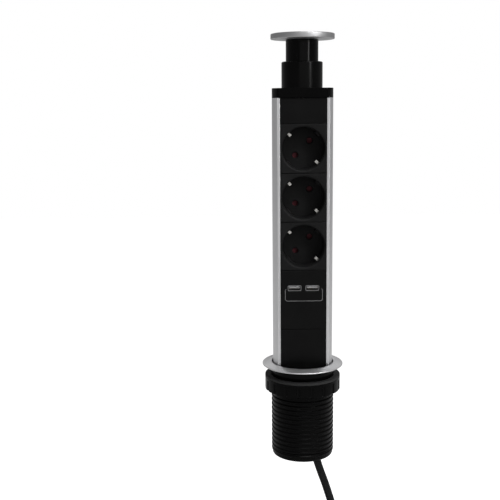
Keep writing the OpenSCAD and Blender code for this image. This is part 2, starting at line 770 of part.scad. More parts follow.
module cord_clamp() {
    color("dimgray") translate([cord_x, 0, cap_floor_top]) difference() {
        slab(saddle_x, -saddle_y, saddle_y, 0, saddle_h);
        translate([0, 0, -eps]) cylinder(r = cord_hole_r, h = saddle_h + 2 * eps);
        for (side = [-1, 1]) translate([0, side * saddle_screw_y, -eps])
            cylinder(r = screw_hole_r, h = saddle_h + 2 * eps);
    }
}
module cord_end() {
    color("black") translate([cord_x, 0, gland_bottom]) cylinder(r = cord_r, h = cord_end_top - gland_bottom);
}
module core_wire(start, x) {
    foot = [cord_x, 0, cord_end_top] + start;
    top = [x, wire_y, bar_foot];
    bend = cord_end_top + wire_rise;
    straight = bend + 2 * wire_sweep;
    tube([foot, [foot[0], foot[1], bend], [(foot[0] + x) / 2, wire_y / 2, bend + wire_sweep],
        [x, wire_y, straight], [x, wire_y, (straight + top[2]) / 2], top], [1, 0, 0], wire_r, 8);
}
module line_wire() { color("saddlebrown") core_wire([-wire_spread, 0, 0], -pin_off); }
module neutral_wire() { color("royalblue") core_wire([wire_spread / 2, wire_spread, 0], pin_off); }
module earth_wire() { color("yellowgreen") core_wire([wire_spread / 2, -wire_spread, 0], 0); }

// Neck that telescopes under the lid
module outer_neck() {
    h = outer_neck_top - outer_neck_bottom;
    color("black") at_neck() translate([0, 0, outer_neck_bottom]) difference() {
        union() {
            rotate_extrude() polygon([[0, 0], [outer_neck_r, 0], [outer_neck_r, h - neck_edge],
                [outer_neck_r - neck_edge, h], [0, h]]);
            slab(outer_neck_r + ear_reach, -ear_half_w, ear_half_w, 0, ear_t);
        }
        translate([0, 0, -eps]) cylinder(r = outer_neck_bore_r, h = h - neck_lip_t + eps);
        cylinder(r = inner_neck_r + neck_gap, h = h + eps);
    }
}
module spring_cup() {
    hat_out_r = hat_in_r + hat_t;
    h = hat_top - outer_neck_bottom;
    color("dimgray") at_neck() translate([0, 0, outer_neck_bottom]) rotate_extrude()
        polygon([[hat_in_r, 0], [outer_neck_bore_r - glue_gap, 0], [outer_neck_bore_r - glue_gap, brim_t],
            [hat_out_r, brim_t], [hat_out_r, h], [hat_hole_r, h], [hat_hole_r, h - hat_t],
            [hat_in_r, h - hat_t]]);
}
module lower_spring() {
    color("gainsboro") at_neck() translate([0, 0, bulkhead_top + seat_gap])
        spring(lower_spring_r, hat_top - hat_t - bulkhead_top - 2 * seat_gap, spring_turns, spring_wire);
}
module upper_spring() {
    foot = outer_neck_bottom + brim_t + seat_gap;
    color("gainsboro") at_neck() translate([0, 0, foot])
        spring(upper_spring_r, lid_z - inner_neck_roof_t - seat_gap - foot, spring_turns, spring_wire);
}
module inner_neck() {
    h = lid_z - inner_neck_bottom;
    color("black") at_neck() translate([0, 0, inner_neck_bottom]) difference() {
        union() {
            cylinder(r = inner_neck_r, h = h);
            cylinder(r = outer_neck_bore_r - slide_gap, h = inner_flange_t);
        }
        translate([0, 0, -eps]) cylinder(r = inner_neck_bore_r, h = h - inner_neck_roof_t + eps);
        cylinder(r = pin_r + glue_gap, h = h + eps);
    }
}
module latch_pin() {
    color("gray") at_neck() {
        translate([0, 0, pin_tip]) cylinder(r = pin_r, h = lid_z + pin_bite - pin_tip);
        translate([0, 0, lid_z - inner_neck_roof_t - pin_collar_t])
            cylinder(r = pin_collar_r, h = pin_collar_t);
    }
}
module lid() {
    color("silver") difference() {
        translate([0, 0, lid_z]) rotate_extrude() polygon([[0, 0], [lid_r - lid_round / 2, 0],
            [lid_r, lid_round / 2], [lid_r, lid_t - lid_round], [lid_r - lid_round, lid_t], [0, lid_t]]);
        at_neck() translate([0, 0, lid_z - eps])
            cylinder(r = pin_r + glue_gap, h = pin_bite + glue_gap + eps);
    }
}

// Mains cord and plug
module mains_cord() {
    color("#161616") tube(cord_path, [0, 1, 0], cord_r, cord_sides);
}
module cord_coil() {
    color("#161616") tube(coil_path, [0, 1, 0], cord_r, 6);
    echo(coil_least_gap = least_gap(coil_path, rings_per_loop / 2, cord_d));
}
module cord_drop() {
    color("#161616") tube([for (s = [0 : 0.25 : 1]) [coil_exit[0], coil_exit[1],
        (coil_exit[2] - coil_lead) * (1 - s) + drop_end_z * s]], [0, 1, 0], cord_r, cord_sides);
}
// Band round the turns where they pass the top of the coil
module cord_tie() {
    reach = cord_r + tie_gap - coil_step / 4;
    inside = [coil_inner_r - reach, coil_outer_r + reach];
    front = -coil_step - cord_r - tie_gap;
    back = cord_r + tie_gap;
    color("dimgray") translate(coil_centre) difference() {
        slab(tie_w / 2, front - tie_t, back + tie_t, inside[0] - tie_t, inside[1] + tie_t);
        slab(tie_w / 2 + eps, front, back, inside[0], inside[1]);
    }
}
module at_plug() { translate([coil_exit[0], coil_exit[1], plug_top]) children(); }
module plug_relief() {
    color("#161616") at_plug()
        cylinder(r1 = cord_r + relief_root_w, r2 = cord_r + relief_tip_w, h = relief_len);
}
module plug_body() {
    nose_end = -plug_grip_len - plug_nose_len;
    slot_w = plug_strip_w / 2 + fit_gap;
    slot_y = plug_nose_r - plug_strip_sink - fit_gap;
    slot_top = -plug_grip_len - plug_strip_end + fit_gap;
    color("#161616") at_plug() difference() {
        union() {
            translate([0, 0, -plug_shoulder])
                cylinder(r1 = plug_d / 2, r2 = plug_d / 2 - plug_shoulder, h = plug_shoulder);
            translate([0, 0, -plug_grip_len]) cylinder(d = plug_d, h = plug_grip_len - plug_shoulder);
            translate([0, 0, nose_end]) cylinder(r = plug_nose_r, h = plug_nose_len + eps);
        }
        for (side = [-1, 1]) translate([side * plug_nose_r, 0, nose_end - eps])
            slab(plug_groove_depth, -plug_groove_w / 2, plug_groove_w / 2, 0, plug_nose_len);
        for (turn = [0, 180]) rotate(turn)
            slab(slot_w, slot_y, plug_nose_r + eps, nose_end - eps, slot_top);
    }
}
module plug_pins() {
    color("silver") at_plug() for (side = [-1, 1])
        translate([side * pin_pitch / 2, 0, -plug_grip_len - plug_nose_len - plug_pin_len])
            cylinder(d = plug_pin_d, h = plug_pin_len);
}
module plug_earth_strips() {
    strip_y = plug_nose_r - plug_strip_sink;
    color("silver") at_plug() for (turn = [0, 180]) rotate(turn)
        slab(plug_strip_w / 2, strip_y, strip_y + plug_strip_t, -plug_grip_len - plug_nose_len,
            -plug_grip_len - plug_strip_end);
}

flange_ring();
ribbed_sleeve();
guide_key();
brake_pad();
clamp_ring();
clamp_pad();
tower_profile();
top_collar();
body_screws();
bulkhead();
latch_body();
top_blank_plate();
socket_face(1);  // socket_face_1
socket_face(2);  // socket_face_2
socket_face(3);  // socket_face_3
socket_base(1);  // socket_base_1
socket_base(2);  // socket_base_2
socket_base(3);  // socket_base_3
earth_stirrup(1);  // earth_stirrup_1
earth_stirrup(2);  // earth_stirrup_2
earth_stirrup(3);  // earth_stirrup_3
shutter(1);  // shutter_1
shutter(2);  // shutter_2
shutter(3);  // shutter_3
shutter_spring(1);  // shutter_spring_1
shutter_spring(2);  // shutter_spring_2
shutter_spring(3);  // shutter_spring_3
pin_contacts();
line_bar();
neutral_bar();
earth_bar();
usb_plate();
usb_shells();
usb_tongues();
usb_board();
usb_parts();
bottom_blank_plate();
bottom_cap();
cord_gland();
cord_clamp();
cord_end();
line_wire();
neutral_wire();
earth_wire();
outer_neck();
spring_cup();
lower_spring();
inner_neck();
upper_spring();
latch_pin();
lid();
mains_cord();
cord_coil();
cord_drop();
cord_tie();
plug_relief();
plug_body();
plug_pins();
plug_earth_strips();
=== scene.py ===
"""Dresses the desk socket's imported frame: cord, fine pieces, materials, light and camera.

Lengths are in millimetres. Those of materials, floor, lamps and camera are in metres.
"""
import json
import math

import bmesh
import bpy
from mathutils import Matrix, Vector

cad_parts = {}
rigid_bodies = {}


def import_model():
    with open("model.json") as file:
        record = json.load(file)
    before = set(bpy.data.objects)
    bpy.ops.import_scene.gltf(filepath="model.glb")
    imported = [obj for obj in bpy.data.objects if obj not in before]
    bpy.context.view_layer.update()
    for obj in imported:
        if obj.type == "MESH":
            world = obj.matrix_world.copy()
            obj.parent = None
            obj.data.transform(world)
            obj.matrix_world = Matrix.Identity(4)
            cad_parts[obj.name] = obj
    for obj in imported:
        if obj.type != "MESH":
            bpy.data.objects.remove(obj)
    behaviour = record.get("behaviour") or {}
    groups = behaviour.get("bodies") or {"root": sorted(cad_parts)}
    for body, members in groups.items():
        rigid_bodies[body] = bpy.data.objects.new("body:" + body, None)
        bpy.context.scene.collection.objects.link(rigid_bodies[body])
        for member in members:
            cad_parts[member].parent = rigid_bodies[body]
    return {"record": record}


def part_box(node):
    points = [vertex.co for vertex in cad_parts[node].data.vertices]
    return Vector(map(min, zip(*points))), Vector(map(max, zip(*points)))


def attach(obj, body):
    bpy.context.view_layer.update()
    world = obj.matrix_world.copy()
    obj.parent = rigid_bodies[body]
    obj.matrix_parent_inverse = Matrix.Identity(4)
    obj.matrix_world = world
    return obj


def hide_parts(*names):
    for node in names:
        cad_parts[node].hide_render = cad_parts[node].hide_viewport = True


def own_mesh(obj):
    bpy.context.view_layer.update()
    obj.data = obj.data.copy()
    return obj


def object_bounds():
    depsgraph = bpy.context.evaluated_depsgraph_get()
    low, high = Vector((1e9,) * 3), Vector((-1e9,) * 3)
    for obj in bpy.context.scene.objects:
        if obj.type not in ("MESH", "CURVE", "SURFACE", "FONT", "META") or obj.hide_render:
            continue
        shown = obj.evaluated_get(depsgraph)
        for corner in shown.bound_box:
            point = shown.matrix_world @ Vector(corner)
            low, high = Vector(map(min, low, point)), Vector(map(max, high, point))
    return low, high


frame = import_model()
cad_box = [list(corner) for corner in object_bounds()]

MM = 0.001

# Sides of a round shape, steps of a rounded corner, and the angle from which an edge counts as sharp
ROUND_SIDES = 144
FINE_SIDES = 2 * ROUND_SIDES
ARC_STEPS = 6
RIB_STEPS = 3
SHARP_ANGLE = math.radians(32)
QUARTER_TURN = [math.pi / 2 * step / ARC_STEPS for step in range(ARC_STEPS + 1)]

# Points nearer than this are joined: in a new shape, and after a cut
MERGE = 1e-4
WELD = 2e-3

# Cord, from the gland in the cap to the plug; the sway is how far aside it hangs at so far down
CORD_R = 3.8
CORD_X = 13.5
CORD_SWAY = ((0, 0), (0.1, 4), (0.8, 8), (2, 12), (4.6, 20), (8.2, 30), (11.4, 40), (14.5, 50), (17.6, 60),
             (20.3, 70), (22.7, 80), (24.4, 90), (25.3, 99), (25.5, 106))
COIL_LEAD = 8
COIL_INNER_R = 32
COIL_STEP = 8.2
COIL_TURNS_IN = 2.5
COIL_POINTS = 24
DROP_POINTS = 5
CORE_OFF = 2.1

# Direction in which the shutters slide, the pins' line across it, and the pins' distance from the middle
SLANT = Vector((-1, 0, 1)).normalized()
PIN_LINE = Vector((1, 0, 1)).normalized()
PIN_REACH = 9.5
PIN_OFF = PIN_REACH / math.sqrt(2)

# Plates of the tower's front, from the top down, and the rounding of their edges
PLATES = ("top_blank_plate", "socket_face_1", "socket_face_2", "socket_face_3", "usb_plate",
          "bottom_blank_plate")
PLAIN_PLATES = ("top_blank_plate", "usb_plate", "bottom_blank_plate")
PLATE_EDGE = 0.55

# How far the sleeve's ribs stay inside its rim
RIB_INSET = 2.2


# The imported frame
def box(node):
    """Lowest and highest corner of a CAD node."""
    return [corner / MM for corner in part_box(node)]


def middle(node):
    """Centre of a CAD node's box."""
    low, high = box(node)
    return (low + high) / 2


def cad_shape(node):
    """A CAD node's mesh as a new shape."""
    bm = bmesh.new()
    bm.from_mesh(bpy.data.objects[node].data)
    bmesh.ops.scale(bm, vec=(1 / MM,) * 3, verts=bm.verts)
    bmesh.ops.remove_doubles(bm, verts=bm.verts, dist=MERGE)
    return bm


def islands(node):
    """The separate solids of a CAD node: lists of their points."""
    bm = cad_shape(node)
    left = set(bm.verts)
    found = []
    for first in bm.verts:
        if first not in left:
            continue
        left.remove(first)
        group = [first]
        for vert in group:
            near = {edge.other_vert(vert) for edge in vert.link_edges} & left
            left -= near
            group.extend(near)
        found.append([vert.co.copy() for vert in group])
    bm.free()
    return found


def span(points):
    """Lowest and highest corner of some points."""
    return [Vector([pick(p[axis] for p in points) for axis in range(3)]) for pick in (min, max)]


def body_of(node):
    """The body that a CAD node belongs to."""
    bodies = frame["record"]["behaviour"]["bodies"]
    return next(name for name, nodes in bodies.items() if node in nodes)


def travel(joint):
    """How far a joint slides from rest to its far limit."""
    rows = frame["record"]["behaviour"]["joints"]
    limits = next(row["range_m"] for row in rows if row["name"] == joint)
    return max(abs(limit) for limit in limits) / MM


# Shapes
def angles(sides):
    return [2 * math.pi * side / sides for side in range(sides)]


def rounded(corners, steps=ARC_STEPS):
    """Points of a closed outline whose corners (x, y, radius) are drawn as arcs."""
    points = []
    for index, (x, y, radius) in enumerate(corners):
        here = Vector((x, y))
        if not radius:
            points.append(here)
            continue
        back = (Vector(corners[index - 1][:2]) - here).normalized()
        ahead = (Vector(corners[(index + 1) % len(corners)][:2]) - here).normalized()
        half = back.angle(ahead) / 2
        centre = here + (back + ahead).normalized() * radius / math.sin(half)
        first = here + back * radius / math.tan(half) - centre
        last = here + ahead * radius / math.tan(half) - centre
        for step in range(steps + 1):
            points.append(centre + first.slerp(last, step / steps).normalized() * radius)
    return points


def rectangle(low, high):
    """The four corners of a rectangle, from two opposite ones."""
    return [(low[0], low[1]), (high[0], low[1]), (high[0], high[1]), (low[0], high[1])]


def rounded_rectangle(low, high, inset, radius):
    """Points of a rectangle with rounded corners, drawn in all round by an inset."""
    margin = Vector((inset, inset))
    return rounded([(x, y, radius) for x, y in rectangle(low + margin, high - margin)])


def join_rings(bm, rings):
    """Adds the faces between rings of points."""
    for ring, following in zip(rings, rings[1:]):
        count = len(ring)
        for side in range(count):
            after = (side + 1) % count
            bm.faces.new((ring[side], ring[after], following[after], following[side]))


def close_rings(bm, rings):
    """Adds the faces between rings of points, and one face on each end."""
    join_rings(bm, rings)
    bm.faces.new(reversed(rings[0]))
    bm.faces.new(rings[-1])


def turned(bm, profile, centre=(0, 0), sides=ROUND_SIDES):
    """Adds a closed profile of (radius, height) points, turned about a vertical axis."""
    rings = []
    for r, z in profile:
        rings.append([bm.verts.new((centre[0] + r * math.cos(a), centre[1] + r * math.sin(a), z))
                      for a in angles(sides)])
    join_rings(bm, rings + rings[:1])
    bmesh.ops.remove_doubles(bm, verts=bm.verts, dist=MERGE)


def prism(bm, outline, start, end, place=Matrix()):
    """Adds an outline of (x, y) points drawn out between two heights, and moves it by a matrix."""
    close_rings(bm, [[bm.verts.new(place @ Vector((x, y, z))) for x, y in outline] for z in (start, end)])


def block(bm, low, high):
    """Adds a box between two corners."""
    prism(bm, rectangle(low, high), low[2], high[2])


def smooth_line(points, steps):
    """Points of a smooth line through the given ones."""
    ends = [2 * points[0] - points[1], *points, 2 * points[-1] - points[-2]]
    line = []
    for a, b, c, d in zip(ends, ends[1:], ends[2:], ends[3:]):
        for step in range(steps):
            t = step / steps
            line.append((2 * b + (c - a) * t + (2 * a - 5 * b + 4 * c - d) * t ** 2
                         + (3 * b - a - 3 * c + d) * t ** 3) / 2)
    return line + [points[-1]]


def heading(line, index):
    """Direction of a line of points at one of them."""
    after = line[min(index + 1, len(line) - 1)]
    before = line[max(index - 1, 0)]
    return (after - before).normalized()


def tube(bm, line, radius, sides):
    """Adds a round tube along a line of points."""
    across = (line[1] - line[0]).orthogonal()
    rings = []
    for index, point in enumerate(line):
        ahead = heading(line, index)
        across = (across - ahead * across.dot(ahead)).normalized()
        other = ahead.cross(across)
        rings.append([bm.verts.new(point + radius * (math.cos(a) * across + math.sin(a) * other))
                      for a in angles(sides)])
    close_rings(bm, rings)


def strip(bm, line, across, width, thick):
    """Adds a flat strip along a line of points in the plane that a direction stands on."""
    rings = []
    for index, point in enumerate(line):
        out = across.cross(heading(line, index)) * thick / 2
        side = across * width / 2
        rings.append([bm.verts.new(point + out * a + side * b) for a, b in rectangle((-1, -1), (1, 1))])
    close_rings(bm, rings)


def round_edges(bm, edges, width, steps):
    """Rounds the given edges."""
    bmesh.ops.bevel(bm, geom=edges, offset=width, segments=steps, profile=0.5, affect="EDGES")


def bevel_edges(bm, width, steps=3):
    """Rounds every sharp edge."""
    sharp = [edge for edge in bm.edges if edge.is_manifold and edge.calc_face_angle() > SHARP_ANGLE]
    round_edges(bm, sharp, width, steps)


def loose_object(bm):
    """A shape as an object of its own, for a cut."""
    mesh = bpy.data.meshes.new("shape")
    bmesh.ops.recalc_face_normals(bm, faces=bm.faces)
    bm.to_mesh(mesh)
    bm.free()
    shape = bpy.data.objects.new("shape", mesh)
    bpy.context.collection.objects.link(shape)
    return shape


def carved(bm, tool):
    """A shape with another one cut out of it."""
    shape = loose_object(bm)
    cutter = loose_object(tool)
    cut = shape.modifiers.new("cut", "BOOLEAN")
    cut.operation = "DIFFERENCE"
    cut.solver = "EXACT"
    cut.object = cutter
    depsgraph = bpy.context.evaluated_depsgraph_get()
    mesh = bpy.data.meshes.new_from_object(shape.evaluated_get(depsgraph))
    bpy.data.objects.remove(shape)
    bpy.data.objects.remove(cutter)
    result = bmesh.new()
    result.from_mesh(mesh)
    bmesh.ops.remove_doubles(result, verts=result.verts, dist=WELD)
    return result


def placed(obj, body, slot, *nodes):
    """Rides an object on a body and lets it stand for CAD nodes; its slot is not used."""
    bpy.context.collection.objects.link(obj)
    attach(obj, body)
    if nodes:
        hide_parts(*nodes)
    return obj


def piece(name, bm, body, slot, *nodes, material=None):
    """Turns a shape into a piece of the object, in its slot's material or one of its own."""
    bmesh.ops.recalc_face_normals(bm, faces=bm.faces)
    bmesh.ops.scale(bm, vec=(MM, MM, MM), verts=bm.verts)
    mesh = bpy.data.meshes.new(name)
    bm.to_mesh(mesh)
    bm.free()
    mesh.shade_smooth()
    mesh.set_sharp_from_angle(angle=SHARP_ANGLE)
    mesh.materials.append(material or MATERIALS[slot])
    return placed(bpy.data.objects.new(name, mesh), body, slot, *nodes)


# Materials; most of a noise pattern lies between these two values
NOISE_LOW = 0.3
NOISE_HIGH = 0.7


def surface(name, colour, roughness, metallic=0.0, specular=0.5):
    material = bpy.data.materials.new(name)
    material.use_nodes = True
    shader = material.node_tree.nodes["Principled BSDF"]
    shader.inputs["Base Color"].default_value = (*colour, 1)
    shader.inputs["Roughness"].default_value = roughness
    shader.inputs["Metallic"].default_value = metallic
    shader.inputs["Specular IOR Level"].default_value = specular
    return material


def new_node(material, kind, **values):
    node = material.node_tree.nodes.new(kind)
    for socket, value in values.items():
        node.inputs[socket.replace("_", " ")].default_value = value
    return node


def link(material, source, target):
    material.node_tree.links.new(source, target)


def shader_socket(material, name):
    return material.node_tree.nodes["Principled BSDF"].inputs[name]


def grain(material, per_metre, detail=3.0):
    """A noise pattern fixed to the part, with so many spots to a metre along X, Y and Z."""
    place = new_node(material, "ShaderNodeTexCoord")
    mapping = new_node(material, "ShaderNodeMapping", Scale=per_metre)
    noise = new_node(material, "ShaderNodeTexNoise", Scale=1.0, Detail=detail)
    link(material, place.outputs["Object"], mapping.inputs["Vector"])
    link(material, mapping.outputs["Vector"], noise.inputs["Vector"])
    return noise.outputs["Fac"]


def ring_grain(material, per_metre):
    """Fine rings about the tower's axis, across flat faces and up the rims."""
    place = new_node(material, "ShaderNodeTexCoord")
    flat = new_node(material, "ShaderNodeMapping", Scale=(per_metre, per_metre, 0))
    length = new_node(material, "ShaderNodeVectorMath")
    length.operation = "LENGTH"
    parts = new_node(material, "ShaderNodeSeparateXYZ")
    rise = new_node(material, "ShaderNodeMath")
    rise.operation = "MULTIPLY_ADD"
    rise.inputs[1].default_value = per_metre
    noise = new_node(material, "ShaderNodeTexNoise", Scale=1.0, Detail=3.0)
    noise.noise_dimensions = "1D"
    link(material, place.outputs["Object"], flat.inputs["Vector"])
    link(material, flat.outputs["Vector"], length.inputs[0])
    link(material, place.outputs["Object"], parts.inputs[0])
    link(material, parts.outputs["Z"], rise.inputs[0])
    link(material, length.outputs["Value"], rise.inputs[2])
    link(material, rise.outputs[0], noise.inputs["W"])
    return noise.outputs["Fac"]


def vary(material, source, socket, low, high):
    """Moves one of the shader's values between two levels by a pattern."""
    levels = new_node(material, "ShaderNodeMapRange", From_Min=NOISE_LOW, From_Max=NOISE_HIGH,
                      To_Min=low, To_Max=high)
    link(material, source, levels.inputs["Value"])
    link(material, levels.outputs["Result"], shader_socket(material, socket))


def tint(material, source, dark, light):
    """Moves the base colour between two colours by a pattern."""
    ramp = new_node(material, "ShaderNodeValToRGB")
    for stop, place, colour in zip(ramp.color_ramp.elements, (NOISE_LOW, NOISE_HIGH), (dark, light)):
        stop.position = place
        stop.color = (*colour, 1)
    link(material, source, ramp.inputs["Fac"])
    link(material, ramp.outputs["Color"], shader_socket(material, "Base Color"))


def relief(material, source, height):
    """Raises and lowers the surface by a pattern."""
    bump = new_node(material, "ShaderNodeBump", Strength=1.0, Distance=height)
    link(material, source, bump.inputs["Height"])
    link(material, bump.outputs["Normal"], shader_socket(material, "Normal"))


def grey(level):
    """A grey with a trace of blue."""
    blue = 1.015
    return (level, level, level * blue)


def drawn_aluminium():
    """Aluminium with fine streaks along the tower."""
    material = surface("drawn_aluminium", grey(0.6), roughness=0.38, metallic=1.0)
    streaks = grain(material, per_metre=(2400, 2400, 14))
    tint(material, streaks, dark=grey(0.62), light=grey(0.76))
    vary(material, streaks, "Roughness", low=0.33, high=0.44)
    relief(material, streaks, height=3e-6)
    return material


def turned_aluminium(name, dark, light, roughness):
    """Aluminium with the fine rings of a lathe."""
    material = surface(name, grey(light), roughness, metallic=1.0)
    rings = ring_grain(material, per_metre=2600)
    tint(material, rings, grey(dark), grey(light))
    vary(material, rings, "Roughness", low=roughness - 0.06, high=roughness + 0.06)
    relief(material, rings, height=4e-6)
    return material


def plastic(name, level, roughness, spots, height, specular=0.4):
    """Moulded plastic or rubber: a skin of fine spots, and broad smears in its tone and gloss."""
    material = surface(name, grey(level), roughness, specular=specular)
    skin = grain(material, per_metre=(spots, spots, spots))
    smears = grain(material, per_metre=(45, 45, 45), detail=5.0)
    tint(material, smears, dark=grey(level * 0.85), light=grey(level * 1.2))
    vary(material, smears, "Roughness", low=roughness - 0.05, high=roughness + 0.06)
    relief(material, skin, height)
    return material


def coloured_plastic(name, dark, light, roughness, specular=0.5):
    """Plastic with a faint mottle between two colours."""
    material = surface(name, light, roughness, specular=specular)
    mottle = grain(material, per_metre=(700, 700, 700))
    tint(material, mottle, dark, light)
    relief(material, mottle, height=8e-6)
    return material


def plated(name, dark, light, roughness):
    """Bright metal with a little wear."""
    material = surface(name, light, roughness, metallic=1.0)
    wear = grain(material, per_metre=(900, 900, 900))
    tint(material, wear, dark, light)
    vary(material, wear, "Roughness", low=roughness - 0.06, high=roughness + 0.1)
    relief(material, wear, height=3e-6)
    return material


def felt():
    """Grey felt with short fibres."""
    material = surface("felt", grey(0.06), roughness=0.95, specular=0.1)
    fibres = grain(material, per_metre=(1500, 1500, 4000), detail=6.0)
    tint(material, fibres, dark=grey(0.03), light=grey(0.1))
    relief(material, fibres, height=1.2e-4)
    return material


PLASTICS = {
    "black_plastic": dict(level=0.001, roughness=0.22, spots=1500, height=4e-6, specular=0.06),
    "face_plastic": dict(level=0.0085, roughness=0.5, spots=2400, height=1e-5, specular=0.07),
    "inner_plastic": dict(level=0.07, roughness=0.5, spots=1500, height=1e-5),
    "board_parts": dict(level=0.03, roughness=0.45, spots=900, height=1e-5),
    "black_rubber": dict(level=0.02, roughness=0.75, spots=1200, height=2e-5, specular=0.25),
    "cord_black": dict(level=0.009, roughness=0.42, spots=900, height=1e-5, specular=0.09),
}
COLOURED_PLASTICS = {
    "red_plastic": dict(dark=(0.048, 0.011, 0.014), light=(0.07, 0.016, 0.021), roughness=0.5, specular=0.1),
    "board_green": dict(dark=(0.012, 0.09, 0.03), light=(0.02, 0.14, 0.05), roughness=0.36),
    "brown_wire": dict(dark=(0.1, 0.035, 0.012), light=(0.14, 0.05, 0.018), roughness=0.38),
    "blue_wire": dict(dark=(0.015, 0.07, 0.3), light=(0.02, 0.1, 0.4), roughness=0.38),
    "earth_wire_green": dict(dark=(0.04, 0.25, 0.03), light=(0.55, 0.5, 0.03), roughness=0.38),
}
PLATED_METALS = {
    "sprung_steel": dict(dark=grey(0.42), light=grey(0.58), roughness=0.28),
    "nickel": dict(dark=(0.56, 0.55, 0.52), light=(0.7, 0.69, 0.66), roughness=0.24),
    "brass": dict(dark=(0.62, 0.42, 0.16), light=(0.76, 0.55, 0.24), roughness=0.26),
}

# The material of each slot, and those of single pieces that differ from their slot
MATERIALS = {"satin_aluminium": drawn_aluminium(), "grey_felt": felt()}
MATERIALS.update({slot: plastic(slot, **values) for slot, values in PLASTICS.items()})
MATERIALS.update({slot: coloured_plastic(slot, **values) for slot, values in COLOURED_PLASTICS.items()})
MATERIALS.update({slot: plated(slot, **values) for slot, values in PLATED_METALS.items()})
FLANGE = turned_aluminium("turned_aluminium", dark=0.56, light=0.7, roughness=0.42)
LID = turned_aluminium("lid_aluminium", dark=0.36, light=0.46, roughness=0.45)
NECK = plastic("neck_plastic", level=0.0008, roughness=0.19, spots=1500, height=2e-6, specular=0.1)
COLLAR = plastic("collar_plastic", level=0.0016, roughness=0.32, spots=1500, height=6e-6, specular=0.04)
PLATE = plastic("plate_plastic", level=0.0025, roughness=0.36, spots=2400, height=8e-6, specular=0.1)
PORT = plated("port_steel", dark=grey(0.3), light=grey(0.4), roughness=0.32)
PRINT = plastic("grey_print", level=0.16, roughness=0.6, spots=3000, height=4e-6)
TONGUE = plastic("tongue_plastic", level=0.3, roughness=0.45, spots=1500, height=6e-6)
GOLD = plated("gold", dark=(0.7, 0.5, 0.18), light=(0.82, 0.62, 0.28), roughness=0.2)


# Cord and plug
def ease(share):
    """A share of 0 to 1 with a soft start and end."""
    held = min(max(share, 0), 1)
    return held * held * (3 - 2 * held)


def coil_point(turn):
    """Point of the coil after so many turns: inwards, forward over half a turn, and outwards again."""
    radius = COIL_INNER_R + COIL_STEP * abs(COIL_TURNS_IN - turn)
    angle = 2 * math.pi * turn
    half_way = 0.5
    forward = COIL_STEP * ease(half_way + 2 * (turn - COIL_TURNS_IN))
    outer = COIL_INNER_R + COIL_STEP * COIL_TURNS_IN
    return Vector((radius * math.cos(angle) - outer, -forward, -radius * math.sin(angle)))


def cord_route(leaves):
    """Points of the cord: hanging from the gland, coiled, and straight down to the plug."""
    hanging = [leaves + Vector((aside, 0, -down)) for aside, down in CORD_SWAY]
    entry = hanging[-1] - Vector((0, 0, COIL_LEAD))
    turns = int(2 * COIL_TURNS_IN * COIL_POINTS)
    coil = [entry + coil_point(index / COIL_POINTS) for index in range(turns + 1)]
    start = coil[-1] - Vector((0, 0, COIL_LEAD))
    end = Vector((start.x, start.y, box("cord_drop")[0].z))
    drop = [start.lerp(end, index / (DROP_POINTS - 1)) for index in range(DROP_POINTS)]
    return hanging + coil + drop


def cord(leaves):
    """The whole cord as one curve."""
    fineness = 6
    curve = bpy.data.curves.new("lead", "CURVE")
    curve.dimensions = "3D"
    curve.bevel_depth = CORD_R * MM
    curve.bevel_resolution = fineness
    curve.resolution_u = fineness
    curve.use_fill_caps = True
    route = cord_route(leaves)
    spline = curve.splines.new("BEZIER")
    spline.bezier_points.add(len(route) - 1)
    for point, place in zip(spline.bezier_points, route):
        point.co = place * MM
        point.handle_left_type = "AUTO"
        point.handle_right_type = "AUTO"
    curve.materials.append(MATERIALS["cord_black"])
    lead = bpy.data.objects.new("lead", curve)
    return placed(lead, "tower", "cord_black", "mains_cord", "cord_coil", "cord_drop")


def coil_strap():
    """The strap that ties the coil, with its loose tail."""
    low, high = box("cord_tie")
    thick, corner, edge = 1.2, 4, 0.3
    outer = rounded_rectangle(low.yz, high.yz, 0, corner)
    inner = rounded_rectangle(low.yz, high.yz, thick, corner - thick)
    bm = bmesh.new()
    rings = [[bm.verts.new((x, y, z)) for y, z in outline]
             for outline, x in ((outer, low.x), (outer, high.x), (inner, high.x), (inner, low.x))]
    join_rings(bm, rings + rings[:1])
    bevel_edges(bm, edge)
    proud, sunk, half_w, tip_r = 0.9, 0.05, 3.2, 0.6
    bottom, top = low.z + 6, low.z + 17
    tail = rounded([(low.y - proud, bottom, edge), (low.y + sunk, bottom, 0), (low.y + sunk, top, 0),
                    (low.y - proud, top, tip_r)])
    across = Matrix(((0, 0, 1, (low.x + high.x) / 2), (1, 0, 0, 0), (0, 1, 0, 0), (0, 0, 0, 1)))
    prism(bm, tail, -half_w, half_w, across)
    return piece("coil_strap", bm, "tower", "black_rubber", "cord_tie")


def plug_sleeve():
    """The plug's ribbed relief, which narrows towards the cord."""
    low, high = box("plug_relief")
    ribs, groove, plain_end, sides, edge = 7, 0.7, 2, 64, 0.2
    foot_lip, foot_h, tip_wall, tip_h, tip_edge = 0.6, 1.5, 0.6, 1.8, 0.4
    groove_end, crest_start, crest_end = 0.3, 0.42, 0.88
    root = (high.x - low.x) / 2
    tip = CORD_R + tip_wall
    pitch = (high.z - low.z - 2 * plain_end) / ribs
    outside = [(root + foot_lip, low.z), (root, low.z + foot_h)]
    for rib in range(ribs):
        z = low.z + plain_end + rib * pitch
        crest = root + (tip - root) * (rib + 0.5) / ribs
        valley = crest - groove
        outside += [(valley, z), (valley, z + groove_end * pitch), (crest, z + crest_start * pitch),
                    (crest, z + crest_end * pitch), (valley, z + pitch)]
    outside += [(tip, high.z - tip_h), (tip, high.z - tip_edge), (tip - tip_edge, high.z)]
    bm = bmesh.new()
    turned(bm, [(0, low.z), *outside, (0, high.z)], middle("plug_relief"), sides)
    bevel_edges(bm, edge, steps=2)
    return piece("plug_sleeve", bm, "tower", "cord_black", "plug_relief")


